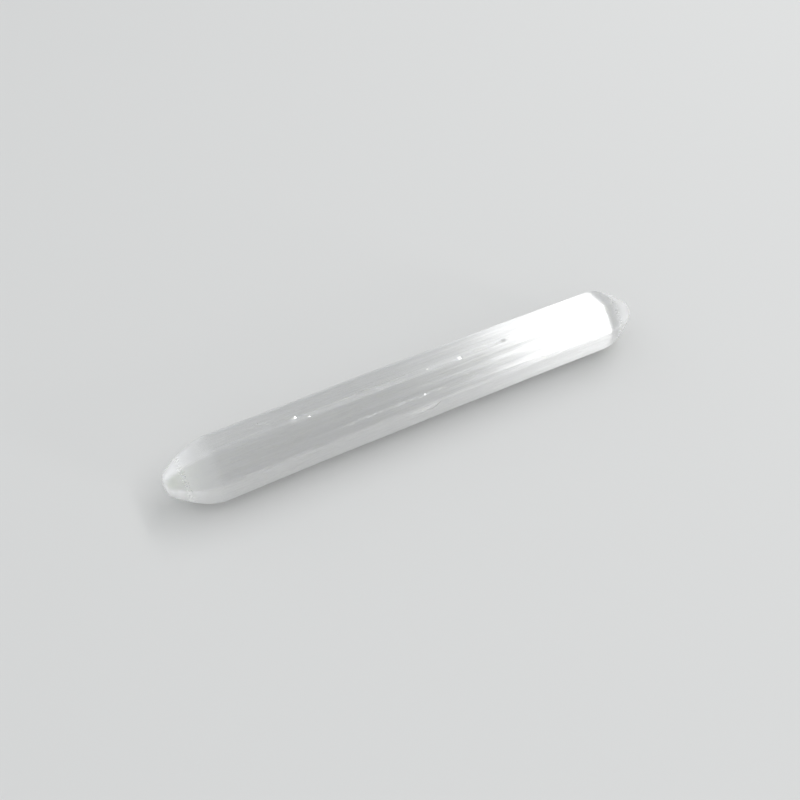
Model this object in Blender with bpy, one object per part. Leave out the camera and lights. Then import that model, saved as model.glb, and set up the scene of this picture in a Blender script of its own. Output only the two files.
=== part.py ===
"""A polished selenite wand: one solid bar of fibrous gypsum, ground to soft flats and two blunt points.

The wand lies along X on the plane Z = 0, its origin under the middle of its length and depth.
Angles round the section start at the front (-Y) and rise over the top (+Z). Sizes are in metres.
"""

import math

import bmesh
import bpy
from mathutils import Matrix, Vector

# Driving dimensions
LENGTH = 0.162
AXIS_TO_FLAT = 0.00985
AXIS_HEIGHT = 0.0097  # a little less than AXIS_TO_FLAT, so the underside is lapped truly flat
AXIS_SHIFT = -0.0003  # where the axis ends lie in Y, which centres the bowed bar on its origin
BOW = 0.0006  # how far the middle of the bar stands behind its ends

# The flats that the bar was ground to, as the angle that each faces
FLAT_ANGLES = (-5.5, 45.5, 96.5, 138.0, 182.0, 226.0, 270.0, 312.0)
# The radius that polishing gave the edge after each flat
EDGE_RADII = (0.0024, 0.0016, 0.0026, 0.0030, 0.0030, 0.0030, 0.0030, 0.0030)
EDGE_STEPS = 4
FLAT_STEPS = 3

# Each point: how long it is, and how far its tip sits from the axis in Y and Z
LEFT_POINT = {"length": 0.0156, "shift": (0.00036, 0.00030)}
RIGHT_POINT = {"length": 0.0145, "shift": (-0.00026, -0.00022)}
# The small round nose on each point, with its radius as a share of the section's
NOSE = {"length": 0.0009, "share": 0.27}
POINT_RINGS = 15
BODY_RINGS = 26

# Hand grinding leaves the bar a hair thicker and thinner along its length: height, waves, phase
SWELLS = ((0.00006, 1.0, 0.6), (0.00003, 2.3, 2.1), (0.00002, 4.1, 4.0))

# Where thin slivers have split away along the grain. Each cut is a block set out in a frame on the
# axis, square to its angle. Its sides are at front and back, and its floor runs from one distance
# off the axis to another.
SPLINTER = {
    "angle": 89.6,
    "front": -0.0070,
    "back": -0.0015,
    "start": (-0.0405, -0.0415),
    "end": (0.0290, 0.0290),
    "floor": (0.00988, 0.01016),
}
FLAKE = {
    "angle": -5.5,
    "front": 0.0015,
    "back": 0.0036,
    "start": (-0.0090, -0.0120),
    "end": (0.0012, 0.0034),
    "floor": (0.00990, 0.00958),
}
CUTTER_HEIGHT = 0.004

GYPSUM_COLOUR = (0.86, 0.87, 0.86, 1.0)


def clear_scene():
    for obj in list(bpy.data.objects):
        bpy.data.objects.remove(obj)


def direction(angle_deg):
    """The unit vector across the bar that an angle names, as (Y, Z)."""
    angle = math.radians(angle_deg)
    return Vector((-math.cos(angle), math.sin(angle)))


def crossing(first_deg, second_deg, distance):
    """Where two flats meet that lie this far from the axis, as (Y, Z)."""
    half_turn = math.radians(second_deg - first_deg) / 2
    return direction((first_deg + second_deg) / 2) * (distance / math.cos(half_turn))


def section_outline():
    """The bar's section as (Y, Z) points: flats joined by rounded edges."""
    outline = []
    following = FLAT_ANGLES[1:] + (FLAT_ANGLES[0] + 360,)
    for first, second, radius in zip(FLAT_ANGLES, following, EDGE_RADII):
        centre = crossing(first, second, AXIS_TO_FLAT - radius)
        edge = [
            centre + direction(first + (second - first) * step / EDGE_STEPS) * radius
            for step in range(EDGE_STEPS + 1)
        ]
        if outline:
            outline += flat_points(outline[-1], edge[0])
        outline += edge
    return outline + flat_points(outline[-1], outline[0])


def flat_points(start, end):
    """The points inside a flat, without its two ends."""
    return [start.lerp(end, step / FLAT_STEPS) for step in range(1, FLAT_STEPS)]


def point_scale(share, length):
    """The section's size at a share of the way from a tip to the full bar."""
    nose_share = min(share * length / NOSE["length"], 1.0)
    nose = math.sqrt(1 - (1 - nose_share) ** 2)
    taper = 1 - (1 - share) ** 2
    return NOSE["share"] * nose + (1 - NOSE["share"]) * taper


def swell(x):
    """How much thicker than nominal the bar is at X, as a share of its size."""
    waves = sum(
        height * math.sin(2 * math.pi * count * x / LENGTH + phase)
        for height, count, phase in SWELLS
    )
    return waves / AXIS_TO_FLAT


def axis_y(x):
    return AXIS_SHIFT + BOW * (1 - (2 * x / LENGTH) ** 2)


def ring(x, share, point):
    """One ring of the surface at X: its scale, and its centre as (Y, Z)."""
    scale = point_scale(share, point["length"]) * (1 + swell(x))
    shift = Vector(point["shift"]) * (1 - share) ** 2
    return x, scale, shift + Vector((axis_y(x), AXIS_HEIGHT))


def rings():
    """The rings of the surface from left to right, without the two tips."""
    shares = [1 - math.cos(math.pi / 2 * step / POINT_RINGS) for step in range(1, POINT_RINGS)]
    left_end = -LENGTH / 2 + LEFT_POINT["length"]
    right_end = LENGTH / 2 - RIGHT_POINT["length"]
    body_step = (right_end - left_end) / BODY_RINGS
    found = [ring(-LENGTH / 2 + LEFT_POINT["length"] * share, share, LEFT_POINT) for share in shares]
    found += [ring(left_end + body_step * step, 1.0, LEFT_POINT) for step in range(BODY_RINGS + 1)]
    found += [
        ring(LENGTH / 2 - RIGHT_POINT["length"] * share, share, RIGHT_POINT)
        for share in reversed(shares)
    ]
    return found


def make_bar():
    """The ground bar, before its underside is lapped and its edge has split."""
    outline = section_outline()
    count = len(outline)
    bm = bmesh.new()
    loops = [
        [bm.verts.new((x, *(point * scale + centre))) for point in outline]
        for x, scale, centre in rings()
    ]
    for left, right in zip(loops, loops[1:]):
        for i in range(count):
            j = (i + 1) % count
            bm.faces.new((left[i], left[j], right[j], right[i]))
    for side, loop, point in ((-1, loops[0], LEFT_POINT), (1, loops[-1], RIGHT_POINT)):
        x, _, centre = ring(side * LENGTH / 2, 0.0, point)
        tip = bm.verts.new((x, *centre))
        for i in range(count):
            bm.faces.new((tip, loop[i], loop[(i + 1) % count]))
    bmesh.ops.recalc_face_normals(bm, faces=bm.faces)
    return mesh_object("wand", bm)


def mesh_object(name, bm):
    mesh = bpy.data.meshes.new(name)
    bm.to_mesh(mesh)
    bm.free()
    obj = bpy.data.objects.new(name, mesh)
    bpy.context.scene.collection.objects.link(obj)
    return obj


def block_cutter(name, corner):
    """A block with corner(at_end, at_back, at_top) as the place of each corner."""
    bm = bmesh.new()
    bmesh.ops.create_cube(bm, size=2.0)
    for vert in bm.verts:
        x, y, z = vert.co
        vert.co = corner(x > 0, y > 0, z > 0)
    cutter = mesh_object(name, bm)
    cutter.hide_render = True
    cutter.display_type = "WIRE"
    return cutter


def underside_cutter():
    """Everything below the plane that the wand rests on."""

    def corner(at_end, at_back, at_top):
        x = LENGTH if at_end else -LENGTH
        y = 2 * AXIS_TO_FLAT if at_back else -2 * AXIS_TO_FLAT
        return (x, y, 0.0 if at_top else -CUTTER_HEIGHT)

    return block_cutter("underside_cutter", corner)


def facing(x, angle_deg):
    """A frame on the bar's axis, its X along the bar and its Z outwards at the angle."""
    outward = direction(angle_deg)
    z_axis = Vector((0.0, outward.x, outward.y))
    x_axis = Vector((1.0, 0.0, 0.0))
    turned = Matrix((x_axis, z_axis.cross(x_axis), z_axis)).transposed().to_4x4()
    return Matrix.Translation((0.0, axis_y(x), AXIS_HEIGHT)) @ turned


def split_cutter(name, split):
    """The sliver that split away: a block over the bar with a sloping floor."""
    frame = facing((split["start"][0] + split["end"][0]) / 2, split["angle"])

    def corner(at_end, at_back, at_top):
        x = split["end" if at_end else "start"][at_back]
        y = split["back" if at_back else "front"]
        z = split["floor"][at_end] + (CUTTER_HEIGHT if at_top else 0.0)
        return frame @ Vector((x, y, z))

    return block_cutter(name, corner)


def cut(obj, cutter):
    modifier = obj.modifiers.new(cutter.name, "BOOLEAN")
    modifier.operation = "DIFFERENCE"
    modifier.solver = "EXACT"
    modifier.object = cutter


def gypsum_material():
    material = bpy.data.materials.new("satin_spar")
    material.use_nodes = True
    shader = material.node_tree.nodes["Principled BSDF"]
    shader.inputs["Base Color"].default_value = GYPSUM_COLOUR
    shader.inputs["Roughness"].default_value = 0.28
    shader.inputs["Metallic"].default_value = 0.0
    shader.inputs["IOR"].default_value = 1.52
    shader.inputs["Transmission Weight"].default_value = 0.4
    return material


def main():
    clear_scene()
    wand = make_bar()
    cut(wand, underside_cutter())
    cut(wand, split_cutter("splinter_cutter", SPLINTER))
    cut(wand, split_cutter("flake_cutter", FLAKE))
    wand.data.materials.append(gypsum_material())
    wand.data.shade_smooth()
    wand.data.set_sharp_from_angle(angle=math.radians(25))


main()
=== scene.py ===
"""The finish of a polished selenite wand, lying on a pale floor in soft studio light.

Lengths are in metres and angles in degrees. The wand lies along X. Angles round its section start at the
front (-Y) and rise over the top (+Z).
"""

import math

import bpy
import numpy as np
from mathutils import Matrix, Vector


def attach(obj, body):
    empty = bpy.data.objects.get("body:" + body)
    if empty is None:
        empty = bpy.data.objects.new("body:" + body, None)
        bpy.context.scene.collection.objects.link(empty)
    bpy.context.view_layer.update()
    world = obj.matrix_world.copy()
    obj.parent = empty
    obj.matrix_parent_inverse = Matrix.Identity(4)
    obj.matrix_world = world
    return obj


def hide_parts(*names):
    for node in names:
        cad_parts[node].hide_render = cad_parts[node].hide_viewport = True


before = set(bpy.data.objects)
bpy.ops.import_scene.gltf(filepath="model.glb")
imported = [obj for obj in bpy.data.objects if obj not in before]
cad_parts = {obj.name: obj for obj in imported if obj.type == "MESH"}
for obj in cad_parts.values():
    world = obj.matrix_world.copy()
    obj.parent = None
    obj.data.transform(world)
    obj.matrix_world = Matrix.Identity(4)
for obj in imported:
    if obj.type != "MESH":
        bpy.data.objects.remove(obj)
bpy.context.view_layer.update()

# The wand's own sizes, the same as those of the solid that it stands for
LENGTH = 0.162
AXIS_TO_FLAT = 0.00985
AXIS_HEIGHT = 0.0097
AXIS_SHIFT = -0.0003
BOW = 0.0006
FLAT_ANGLES = (-5.5, 45.5, 96.5, 138.0, 182.0, 226.0, 270.0, 312.0)
EDGE_RADII = (0.0024, 0.0016, 0.0026, 0.0030, 0.0030, 0.0030, 0.0030, 0.0030)
LEFT_POINT = {"length": 0.0156, "shift": (0.00036, 0.00030)}
RIGHT_POINT = {"length": 0.0145, "shift": (-0.00026, -0.00022)}
NOSE = {"length": 0.0009, "share": 0.27}
SWELLS = ((0.00006, 1.0, 0.6), (0.00003, 2.3, 2.1), (0.00002, 4.1, 4.0))
SPLINTER = {
    "angle": 89.6,
    "front": -0.0070,
    "back": -0.0015,
    "start": (-0.0405, -0.0415),
    "end": (0.0290, 0.0290),
    "floor": (0.00988, 0.01016),
}
FLAKE = {
    "angle": -5.5,
    "front": 0.0015,
    "back": 0.0036,
    "start": (-0.0090, -0.0120),
    "end": (0.0012, 0.0034),
    "floor": (0.00990, 0.00958),
}

# How much the fine surface is sunk, to stay within the solid
SKIN = 0.00003
# How far apart the fine surface's points are: round the section, and along the bar between two places
EDGE_STEPS = 40
AROUND_STEP = 0.00027
FINE_AROUND_STEP = 0.00011
FINE_ANGLES = ((64, 86), (-3, 18), (32, 39))
ALONG_STEPS = (
    (-0.0654, 0.0665, 0.0014),
    (-0.0420, 0.0300, 0.0007),
    (-0.0240, 0.0070, 0.0004),
    (-0.0095, 0.0036, 0.0003),
)
CHIP_STEP = 0.00015
CHIP_REACH = 0.7
POINT_RINGS = 28
# Edges of the mesh that turn more than this stay sharp
SHARP_ANGLE = 40

# How much of the flats' edges is left at each tip, where polishing rounded them
TIP_EDGES = 0.15

# Fibres show as faint lengthwise grooves: cells round the section, cells along it, depth
FIBRES = ((60, 5, 0.000014), (130, 9, 0.000010), (230, 14, 0.000007))
# Where a sliver split away, the fibres under it broke at different depths
SPLINTER_STEPS = {"width": 0.00032, "length": 0.017, "depth": 0.00010, "white": 0.1}
FLAKE_STEPS = {"width": 0.00019, "length": 0.0030, "depth": 0.00010, "white": 0.6}
FIBRE_DRAWS = 64
FIBRE_OFFSET = 5
SEEDS = {"splinter": 11, "flake": 12, "pits": 13}
# A row of pits where fibre ends were plucked out: most of them, and the few that follow to the right
PIT_ROWS = (
    {"count": 60, "x": (-0.0300, 0.0066), "angle": (33.6, 37.6), "length": (0.0008, 0.0022)},
    {"count": 12, "x": (0.0066, 0.0250), "angle": (34.0, 44.0), "length": (0.0006, 0.0012)},
)
PIT_WIDTH = 0.00016
PIT_DEPTH = 0.00005
PIT_SHARES = (0.3, 1.0)
PIT_BROKEN = 0.8
# Small chips with a sloping floor: place, angle, length, width, slope
CHIPS = (
    (-0.0407, 81.0, 0.0011, 0.0009, 0.240),
    (-0.0370, 73.0, 0.0009, 0.0006, 0.235),
    (0.0132, 72.6, 0.0012, 0.0011, 0.107),
    (-0.0515, 98.6, 0.0008, 0.0008, 0.260),
    (-0.0015, 36.0, 0.0008, 0.0005, 0.150),
)
# Shallow rounded dents: place, angle, length, width, depth
DENTS = ((-0.0586, 0.0, 0.0030, 0.0006, 0.00005),)

# Cells a metre of the stone's grain, along the wand and both ways across it, from coarse to fine
BUNDLE_CELLS = (9, 900, 900)
THREAD_CELLS = (30, 3000, 3000)
FIBRE_CELLS = (60, 22000, 22000)
RIPPLE_CELLS = (140, 250, 250)
# Where each point goes from white to clear, along X, and how ragged that edge is
LEFT_CLEAR = (-0.0800, -0.0690)
RIGHT_CLEAR = (0.0680, 0.0750)
CLEAR_RAGGED = 0.001
# How far the surface turns towards a tip where the grain starts to fade, and where it is gone
GRAIN_FADE = (0.05, 0.35)
# How white the stone is, in its middle and at its clear points, and what streaks and broken fibres add
SATIN_WHITE = 0.80
CLEAR_WHITE = 0.96
STREAK_WHITE = 0.02
BROKEN_WHITE = 0.16
# How far the grain turns the reflecting surface: round the wand in radians, and along it
FIBRE_TILT = 0.7
THREAD_TILT = 0.08
BUNDLE_LEAN = 0.012
RIPPLE_LEAN = 0.006
# The surface, in the wand's middle and at its clear points
ROUGHNESS = (0.42, 0.18)
METALLIC = (0.50, 0.0)
TRANSMISSION = (0.4, 0.65)
REFRACTION = 1.52
GLOW_RADIUS = (1.0, 1.0, 0.9)
GLOW_SCALE = 0.006
POLISH = 0.4
POLISH_ROUGHNESS = 0.08
ABSORPTION_COLOUR = (0.95, 0.97, 0.88, 1)
ABSORPTION_DENSITY = 14.0

# The floor: half its side, its colour, and how it shines
FLOOR_REACH = 3.0
FLOOR_COLOUR = (0.72, 0.72, 0.715, 1)
FLOOR_ROUGHNESS = 0.9
FLOOR_GLOSS = 0.1
# The dome, which fades from its left strength to its right one
DOME_COLOUR = (0.97, 0.99, 1.0, 1)
DOME_FADE = {"From Min": -0.15, "From Max": 0.25, "To Min": 0.85, "To Max": 0.50}
# The softboxes: where they aim, how far off they stand, and each one's lean along the wand, angle, size and power
BAND_AT = (0.050, 0, 0.010)
LAMP_DISTANCE = 1.5
LAMPS = {
    "key": {"lean": 0.55, "angle": 89, "size": (0.25, 2.2), "power": 10.0},
    "low_key": {"lean": 0.54, "angle": 8, "size": (0.25, 0.6), "power": 4.0},
}

# The camera, in the photograph's place
CAMERA_AZIMUTH = -27.7
CAMERA_ELEVATION = 48.1
CAMERA_DISTANCE = 0.2498
CAMERA_AIM = (-0.00595, 0.00013, 0.00742)
CAMERA_LENS = 36.0
CAMERA_SENSOR = 36.0
CAMERA_NEAR = 0.01


def direction(angle_deg):
    """The unit vector across the bar that an angle names, as (Y, Z)."""
    angle = math.radians(angle_deg)
    return np.array((-math.cos(angle), math.sin(angle)))


def crossing(first_deg, second_deg, distance):
    """Where two flats meet that lie this far from the axis, as (Y, Z)."""
    half_turn = math.radians(second_deg - first_deg) / 2
    return direction((first_deg + second_deg) / 2) * (distance / math.cos(half_turn))


def section_outline():
    """The section's closed outline as (Y, Z) points: rounded edges, which straight flats join."""
    points = []
    following = FLAT_ANGLES[1:] + (FLAT_ANGLES[0] + 360,)
    for first, second, radius in zip(FLAT_ANGLES, following, EDGE_RADII):
        centre = crossing(first, second, AXIS_TO_FLAT - radius)
        for step in range(EDGE_STEPS + 1):
            points.append(centre + direction(first + (second - first) * step / EDGE_STEPS) * radius)
    return np.array([*points, points[0]])


def walk(start, end, step_at):
    """Places from start up to end, each as far from the last as step_at says there."""
    places = [start]
    while places[-1] < end:
        places.append(places[-1] + step_at(places[-1]))
    places = np.array(places)
    return start + (places - start) * (end - start) / (places[-1] - start)


def angle_of(y, z):
    """The angle round the section, from 0 to 360."""
    return np.degrees(np.arctan2(z, -y)) % 360


def columns():
    """The section's points as (Y, Z), and each one's share of the way round.

    They lie close together where the relief is fine.
    """
    outline = section_outline()
    gaps = np.linalg.norm(np.diff(outline, axis=0), axis=1)
    run = np.concatenate(([0.0], np.cumsum(gaps)))

    def point_at(distance):
        return np.interp(distance, run, outline[:, 0]), np.interp(distance, run, outline[:, 1])

    def step_at(distance):
        angle = angle_of(*point_at(distance))
        fine = any(low <= angle <= high or low <= angle - 360 <= high for low, high in FINE_ANGLES)
        return FINE_AROUND_STEP if fine else AROUND_STEP

    places = walk(0.0, run[-1], step_at)[:-1]
    return np.stack(point_at(places), axis=1), places / run[-1]


def ring_step(x):
    """How far apart the rings are at X."""
    steps = [step for start, end, step in ALONG_STEPS if start <= x <= end]
    steps += [CHIP_STEP for place, _, length, _, _ in CHIPS if abs(x - place) < CHIP_REACH * length]
    return min(steps)


def point_scale(share, length):
    """The section's size at a share of the way from a tip to the full bar."""
    nose_share = np.minimum(share * length / NOSE["length"], 1.0)
    nose = np.sqrt(1 - (1 - nose_share) ** 2)
    taper = 1 - (1 - share) ** 2
    return NOSE["share"] * nose + (1 - NOSE["share"]) * taper


def swell(x):
    """How much thicker than nominal the bar is at X, as a share of its size."""
    waves = sum(
        height * np.sin(2 * math.pi * count * x / LENGTH + phase)
        for height, count, phase in SWELLS
    )
    return waves / AXIS_TO_FLAT


def axis_y(x):
    """Where the bowed axis lies at X."""
    return AXIS_SHIFT + BOW * (1 - (2 * x / LENGTH) ** 2)


def rings():
    """Each ring's X, scale, share of its edges that is left, and centre as (Y, Z), from left to right."""
    shares = 1 - np.cos(np.pi / 2 * np.arange(1, POINT_RINGS) / POINT_RINGS)
    tip = LENGTH / 2 - SKIN
    stations = [(-tip + LEFT_POINT["length"] * share, share, LEFT_POINT) for share in shares]
    body_start, body_end, _ = ALONG_STEPS[0]
    stations += [(x, 1.0, LEFT_POINT) for x in walk(body_start, body_end, ring_step)]
    stations += [(tip - RIGHT_POINT["length"] * share, share, RIGHT_POINT) for share in shares[::-1]]
    x = np.array([station[0] for station in stations])
    scale = np.array([point_scale(share, point["length"]) for _, share, point in stations])
    shift = np.array([np.array(point["shift"]) * (1 - share) ** 2 for _, share, point in stations])
    centre = shift + np.stack((axis_y(x), np.full(len(x), AXIS_HEIGHT)), axis=1)
    edges = TIP_EDGES + (1 - TIP_EDGES) * smooth(np.array([share for _, share, _ in stations]))
    return x, scale * (1 + swell(x)), edges, centre


def smooth(value):
    """Eases a value from 0 to 1, and holds it there outside."""
    value = np.clip(value, 0.0, 1.0)
    return value * value * (3 - 2 * value)


def value_noise(around, along, cells_around, cells_along, seed):
    """Smooth noise from 0 to 1 that closes on itself round the section."""
    grid = np.random.default_rng(seed).random((cells_around, cells_along + 2))
    u = around * cells_around
    v = along * cells_along
    left = np.floor(u).astype(int)
    low = np.floor(v).astype(int)
    fu = smooth(u - left)
    fv = smooth(v - low)
    left = left % cells_around
    right = (left + 1) % cells_around
    near = grid[left, low] * (1 - fu) + grid[right, low] * fu
    far = grid[left, low + 1] * (1 - fu) + grid[right, low + 1] * fu
    return near * (1 - fv) + far * fv


def apply_split(x, y, z, split):
    """Sinks the points that a split took away on to its floor, and returns how deep each sank."""
    outward = direction(split["angle"])
    backward = np.array((outward[1], -outward[0]))
    from_axis_y = y - axis_y((split["start"][0] + split["end"][0]) / 2)
    from_axis_z = z - AXIS_HEIGHT
    height = from_axis_y * outward[0] + from_axis_z * outward[1]
    across = from_axis_y * backward[0] + from_axis_z * backward[1]
    share_back = np.clip((across - split["front"]) / (split["back"] - split["front"]), 0, 1)
    start = split["start"][0] + (split["start"][1] - split["start"][0]) * share_back
    end = split["end"][0] + (split["end"][1] - split["end"][0]) * share_back
    share = (x - start) / (end - start)
    floor = split["floor"][0] + (split["floor"][1] - split["floor"][0]) * np.clip(share, 0, 1)
    inside = (share >= 0) & (share <= 1) & (across > split["front"]) & (across < split["back"])
    sunk = np.where(inside & (height > 0), np.maximum(height - floor, 0.0), 0.0)
    return y - outward[0] * sunk, z - outward[1] * sunk, sunk


def broken_fibres(x, across, steps, seed):
    """How deep each fibre of a split broke, from 0 to 1, with breaks of its own along its length."""
    draws = np.random.default_rng(seed).random((FIBRE_DRAWS, FIBRE_DRAWS))
    fibre = np.floor(across / steps["width"]).astype(int) % FIBRE_DRAWS
    stretch = np.floor(x / steps["length"] + draws[fibre, 0] * FIBRE_OFFSET).astype(int) % FIBRE_DRAWS
    return draws[fibre, stretch]


def offset_round(angle, centre_deg):
    """How far a point lies round the section from an angle, in metres."""
    return np.radians((angle - centre_deg + 180) % 360 - 180) * AXIS_TO_FLAT


def relief(x, angle, splinter, flake):
    """How deep each point lies under the ground surface, and how broken its fibres are, from 0 to 1."""
    across = np.radians(angle) * AXIS_TO_FLAT
    depth = np.zeros(x.shape)
    broken = np.zeros(x.shape)
    splits = (
        (splinter, SPLINTER_STEPS, SEEDS["splinter"]),
        (flake, FLAKE_STEPS, SEEDS["flake"]),
    )
    for sunk, steps, seed in splits:
        level = broken_fibres(x, across, steps, seed)
        share = np.clip(sunk / steps["depth"], 0, 1)
        depth += share * level * steps["depth"]
        edge = np.abs(level - np.roll(level, 1, axis=1)) + np.abs(level - np.roll(level, 1, axis=0))
        broken = np.maximum(broken, share * np.clip(steps["white"] * level + edge, 0, 1))

    rng = np.random.default_rng(SEEDS["pits"])
    for row in PIT_ROWS:
        for _ in range(row["count"]):
            middle = rng.uniform(*row["x"])
            half_length = rng.uniform(*row["length"]) / 2
            aside = offset_round(angle, rng.uniform(*row["angle"]))
            reach = 1 - ((x - middle) / half_length) ** 2 - (aside / PIT_WIDTH) ** 2
            pit = smooth(reach) * rng.uniform(*PIT_SHARES)
            depth += pit * PIT_DEPTH
            broken = np.maximum(broken, PIT_BROKEN * pit)

    for place, centre_deg, length, width, slope in CHIPS:
        aside = offset_round(angle, centre_deg)
        run = x - place + length / 2
        inside = (run > 0) & (run < length) & (np.abs(aside) < width / 2)
        depth += np.where(inside, slope * run, 0.0)

    for place, centre_deg, length, width, deep in DENTS:
        aside = offset_round(angle, centre_deg)
        reach = 1 - (2 * (x - place) / length) ** 2 - (2 * aside / width) ** 2
        depth += deep * smooth(reach)
    return depth, broken


def make_wand():
    """The wand's fine surface, ring by ring from the left tip to the right one."""
    section, around = columns()
    ring_x, scale, edges, centre = rings()
    count = len(section)
    x = np.repeat(ring_x[:, None], count, axis=1)
    along = (x + LENGTH / 2) / LENGTH
    around = np.repeat(around[None, :], len(ring_x), axis=0)
    angle = np.repeat(angle_of(section[:, 0], section[:, 1])[None, :], len(ring_x), axis=0)

    depth = np.full(x.shape, SKIN)
    for seed, (cells_around, cells_along, height) in enumerate(FIBRES):
        depth += height * value_noise(around, along, cells_around, cells_along, seed)
    radius = np.linalg.norm(section, axis=1)
    outward = section / radius[:, None]
    reach = (AXIS_TO_FLAT + (radius - AXIS_TO_FLAT) * edges[:, None]) * scale[:, None] - depth
    y = outward[:, 0] * reach + centre[:, :1]
    z = outward[:, 1] * reach + centre[:, 1:]
    y, z, splinter = apply_split(x, y, z, SPLINTER)
    y, z, flake = apply_split(x, y, z, FLAKE)
    depth, broken = relief(x, angle, splinter, flake)
    y = y - outward[:, 0] * depth
    z = np.maximum(z - outward[:, 1] * depth, 0.0)

    vertices = np.stack((x, y, z), axis=2).reshape(-1, 3)
    tips = []
    for side, point in ((-1, LEFT_POINT), (1, RIGHT_POINT)):
        tip_x = side * (LENGTH / 2 - SKIN)
        tips.append((tip_x, axis_y(tip_x) + point["shift"][0], AXIS_HEIGHT + point["shift"][1]))
    vertices = np.concatenate((vertices, np.array(tips)))
    broken = np.concatenate((broken.reshape(-1), (0.0, 0.0)))

    ring_count = len(ring_x)
    i = np.arange(count)
    j = (i + 1) % count
    faces = []
    for ring in range(ring_count - 1):
        low = ring * count
        high = low + count
        faces += np.stack((low + i, low + j, high + j, high + i), axis=1).tolist()
    left_tip = ring_count * count
    right_tip = left_tip + 1
    last = (ring_count - 1) * count
    faces += np.stack((np.full(count, left_tip), j, i), axis=1).tolist()
    faces += np.stack((np.full(count, right_tip), last + i, last + j), axis=1).tolist()

    mesh = bpy.data.meshes.new("satin_wand")
    mesh.from_pydata(vertices.tolist(), [], faces)
    mesh.attributes.new("broken", "FLOAT", "POINT").data.foreach_set("value", broken)
    mesh.shade_smooth()
    mesh.set_sharp_from_angle(angle=math.radians(SHARP_ANGLE))
    wand = bpy.data.objects.new("satin_wand", mesh)
    bpy.context.scene.collection.objects.link(wand)
    return wand


class Graph:
    """A material's nodes, with a short way to add and join them."""

    def __init__(self, material):
        material.use_nodes = True
        self.tree = material.node_tree
        self.shader = self.tree.nodes["Principled BSDF"]

    def put(self, socket, value):
        if isinstance(value, bpy.types.NodeSocket):
            self.tree.links.new(value, socket)
        else:
            socket.default_value = value

    def node(self, kind, inputs=(), **settings):
        made = self.tree.nodes.new(kind)
        for name, value in settings.items():
            setattr(made, name, value)
        for key, value in dict(inputs).items():
            self.put(made.inputs[key], value)
        return made

    def math(self, operation, *values):
        made = self.node("ShaderNodeMath", enumerate(values), operation=operation)
        return made.outputs[0]

    def vector(self, operation, *values):
        made = self.node("ShaderNodeVectorMath", enumerate(values), operation=operation)
        return made.outputs[0]

    def scale(self, vector, amount):
        inputs = {0: vector, "Scale": amount}
        return self.node("ShaderNodeVectorMath", inputs, operation="SCALE").outputs[0]

    def ramp(self, value, low, high, out_low=0.0, out_high=1.0, kind="LINEAR"):
        inputs = {"Value": value, "From Min": low, "From Max": high}
        inputs.update({"To Min": out_low, "To Max": out_high})
        return self.node("ShaderNodeMapRange", inputs, interpolation_type=kind).outputs["Result"]

    def spread(self, value, low, high, reach):
        """A value from low to high, turned into one from minus reach to reach."""
        return self.ramp(value, low, high, -reach, reach)

    def noise(self, position, stretch, detail):
        """Noise from 0 to 1, with so many cells a metre along each axis."""
        inputs = {"Vector": self.vector("MULTIPLY", position, stretch), "Scale": 1.0, "Detail": detail}
        return self.node("ShaderNodeTexNoise", inputs).outputs["Fac"]

    def set(self, name, value):
        self.put(self.shader.inputs[name], value)


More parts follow.
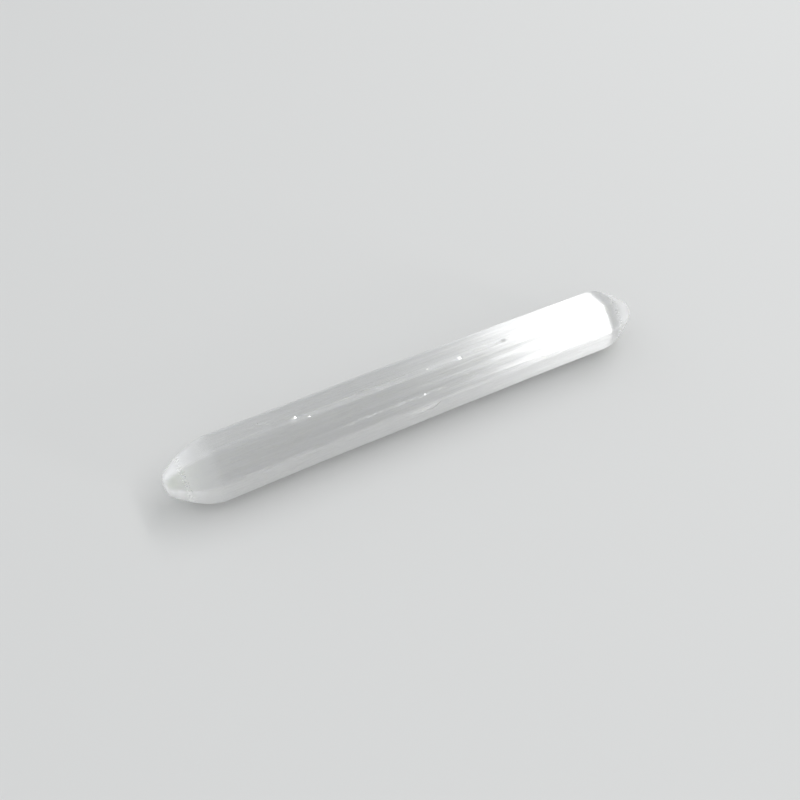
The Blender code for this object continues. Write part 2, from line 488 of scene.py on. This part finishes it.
def satin_material():
    """Fibrous stone: white and silky along its fibres, and clear towards both tips."""
    material = bpy.data.materials.new("satin_spar")
    graph = Graph(material)
    place = graph.node("ShaderNodeTexCoord").outputs["Object"]
    along = graph.node("ShaderNodeSeparateXYZ", {0: place}).outputs["X"]
    broken = graph.node("ShaderNodeAttribute", attribute_name="broken").outputs["Fac"]

    bundles = graph.noise(place, BUNDLE_CELLS, 1.0)
    threads = graph.noise(place, THREAD_CELLS, 1.0)
    fibres = graph.noise(place, FIBRE_CELLS, 0.0)
    ripples = graph.noise(place, RIPPLE_CELLS, 1.0)

    # The points are clear because the ground surface cuts across the fibres there
    normal = graph.node("ShaderNodeNewGeometry").outputs["Normal"]
    edge = graph.math("ADD", along, graph.spread(threads, 0.3, 0.7, CLEAR_RAGGED))
    left_clear = graph.ramp(edge, *LEFT_CLEAR, 1.0, 0.0, "SMOOTHSTEP")
    right_clear = graph.ramp(edge, *RIGHT_CLEAR, 0.0, 1.0, "SMOOTHSTEP")
    clear = graph.math("MAXIMUM", left_clear, right_clear)
    normal_x = graph.node("ShaderNodeSeparateXYZ", {0: normal}).outputs["X"]
    grain = graph.ramp(graph.math("ABSOLUTE", normal_x), *GRAIN_FADE, 1.0, 0.0, "SMOOTHSTEP")

    bundle_streaks = graph.spread(bundles, 0.3, 0.7, STREAK_WHITE)
    thread_streaks = graph.spread(threads, 0.3, 0.7, STREAK_WHITE)
    streaks = graph.math("MULTIPLY", graph.math("ADD", bundle_streaks, thread_streaks), grain)
    whiteness = graph.math("ADD", graph.ramp(clear, 0, 1, SATIN_WHITE, CLEAR_WHITE), streaks)
    whiteness = graph.math("ADD", whiteness, graph.ramp(broken, 0, 1, 0.0, BROKEN_WHITE))
    colour = graph.node("ShaderNodeCombineColor", {0: whiteness, 1: whiteness, 2: whiteness})
    graph.set("Base Color", colour.outputs[0])

    # Each fibre reflects like a thread: widely across itself and tightly along itself
    sideways = graph.vector("CROSS_PRODUCT", (1, 0, 0), normal)
    fibre_tilt = graph.spread(fibres, 0.2, 0.8, FIBRE_TILT)
    thread_tilt = graph.spread(threads, 0.25, 0.75, THREAD_TILT)
    tilt = graph.math("MULTIPLY", graph.math("ADD", fibre_tilt, thread_tilt), grain)
    outward = graph.scale(normal, graph.math("COSINE", tilt))
    aside = graph.scale(sideways, graph.math("SINE", tilt))
    bundle_lean = graph.spread(bundles, 0.25, 0.75, BUNDLE_LEAN)
    ripple_lean = graph.spread(ripples, 0.25, 0.75, RIPPLE_LEAN)
    lean = graph.math("MULTIPLY", graph.math("ADD", bundle_lean, ripple_lean), grain)
    leant = graph.scale((1, 0, 0), lean)
    fibre_normal = graph.vector("ADD", graph.vector("ADD", outward, aside), leant)
    graph.set("Normal", graph.vector("NORMALIZE", fibre_normal))
    tangent = graph.node("ShaderNodeTangent", direction_type="RADIAL", axis="X")
    graph.set("Tangent", tangent.outputs["Tangent"])
    graph.set("Anisotropic", 1.0)

    whole = graph.math("SUBTRACT", 1.0, broken)
    graph.set("Roughness", graph.ramp(clear, 0, 1, *ROUGHNESS))
    graph.set("Metallic", graph.math("MULTIPLY", graph.ramp(clear, 0, 1, *METALLIC), whole))
    passing = graph.math("MULTIPLY", graph.ramp(clear, 0, 1, *TRANSMISSION), whole)
    graph.set("Transmission Weight", passing)
    graph.set("IOR", REFRACTION)
    graph.set("Subsurface Weight", 1.0)
    graph.set("Subsurface Radius", GLOW_RADIUS)
    graph.set("Subsurface Scale", GLOW_SCALE)
    graph.set("Coat Weight", POLISH)
    graph.set("Coat Roughness", POLISH_ROUGHNESS)
    inputs = {"Color": ABSORPTION_COLOUR, "Density": ABSORPTION_DENSITY}
    absorption = graph.node("ShaderNodeVolumeAbsorption", inputs)
    output = graph.tree.nodes["Material Output"]
    graph.put(output.inputs["Volume"], absorption.outputs[0])
    return material


def make_floor():
    """The plain pale floor that the wand lies on."""
    mesh = bpy.data.meshes.new("floor")
    far = FLOOR_REACH
    corners = [(-far, -far, 0), (far, -far, 0), (far, far, 0), (-far, far, 0)]
    mesh.from_pydata(corners, [], [(0, 1, 2, 3)])
    floor = bpy.data.objects.new("floor", mesh)
    bpy.context.scene.collection.objects.link(floor)
    material = bpy.data.materials.new("floor")
    material.use_nodes = True
    shader = material.node_tree.nodes["Principled BSDF"]
    shader.inputs["Base Color"].default_value = FLOOR_COLOUR
    shader.inputs["Roughness"].default_value = FLOOR_ROUGHNESS
    shader.inputs["Specular IOR Level"].default_value = FLOOR_GLOSS
    mesh.materials.append(material)


def towards(share_along, angle_deg):
    """The direction that leans this far along the wand, at an angle round it."""
    across = direction(angle_deg) * math.sqrt(1 - share_along**2)
    return (share_along, *across)


def softbox(name, facing, size, power):
    """A softbox that faces the white band, the second side of its size square to the wand."""
    facing = Vector(facing).normalized()
    long_axis = facing.cross(Vector((1, 0, 0))).normalized()
    short_axis = long_axis.cross(facing)
    light = bpy.data.lights.new(name, "AREA")
    light.shape = "RECTANGLE"
    light.size, light.size_y = size
    light.energy = power
    lamp = bpy.data.objects.new(name, light)
    turned = Matrix((short_axis, long_axis, facing)).transposed().to_4x4()
    lamp.matrix_world = Matrix.Translation(Vector(BAND_AT) + facing * LAMP_DISTANCE) @ turned
    bpy.context.scene.collection.objects.link(lamp)


def light_scene():
    """A dome that is brighter to the left, and the lamps that the fibres throw back as a white band."""
    world = bpy.data.worlds.new("studio")
    world.use_nodes = True
    nodes, links = world.node_tree.nodes, world.node_tree.links
    heading = nodes.new("ShaderNodeTexCoord")
    parts = nodes.new("ShaderNodeSeparateXYZ")
    links.new(heading.outputs["Generated"], parts.inputs[0])
    fade = nodes.new("ShaderNodeMapRange")
    fade.interpolation_type = "SMOOTHSTEP"
    for name, value in DOME_FADE.items():
        fade.inputs[name].default_value = value
    links.new(parts.outputs["X"], fade.inputs["Value"])
    background = nodes["Background"]
    background.inputs["Color"].default_value = DOME_COLOUR
    links.new(fade.outputs["Result"], background.inputs["Strength"])
    bpy.context.scene.world = world
    for name, lamp in LAMPS.items():
        softbox(name, towards(lamp["lean"], lamp["angle"]), lamp["size"], lamp["power"])


def make_camera():
    """The camera, which looks at its aim from its azimuth and elevation."""
    camera = bpy.data.cameras.new("camera")
    camera.lens = CAMERA_LENS
    camera.sensor_width = CAMERA_SENSOR
    camera.clip_start = CAMERA_NEAR
    rig = bpy.data.objects.new("camera", camera)
    azimuth = math.radians(CAMERA_AZIMUTH)
    elevation = math.radians(CAMERA_ELEVATION)
    back = Vector(
        (
            math.sin(azimuth) * math.cos(elevation),
            -math.cos(azimuth) * math.cos(elevation),
            math.sin(elevation),
        )
    )
    rig.location = Vector(CAMERA_AIM) + back * CAMERA_DISTANCE
    rig.rotation_euler = (-back).to_track_quat("-Z", "Y").to_euler()
    bpy.context.scene.collection.objects.link(rig)
    bpy.context.scene.camera = rig


def main():
    bpy.context.scene.view_settings.view_transform = "Standard"
    wand = make_wand()
    wand.data.materials.append(satin_material())
    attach(wand, "root")
    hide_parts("wand")
    make_floor()
    light_scene()
    make_camera()


main()
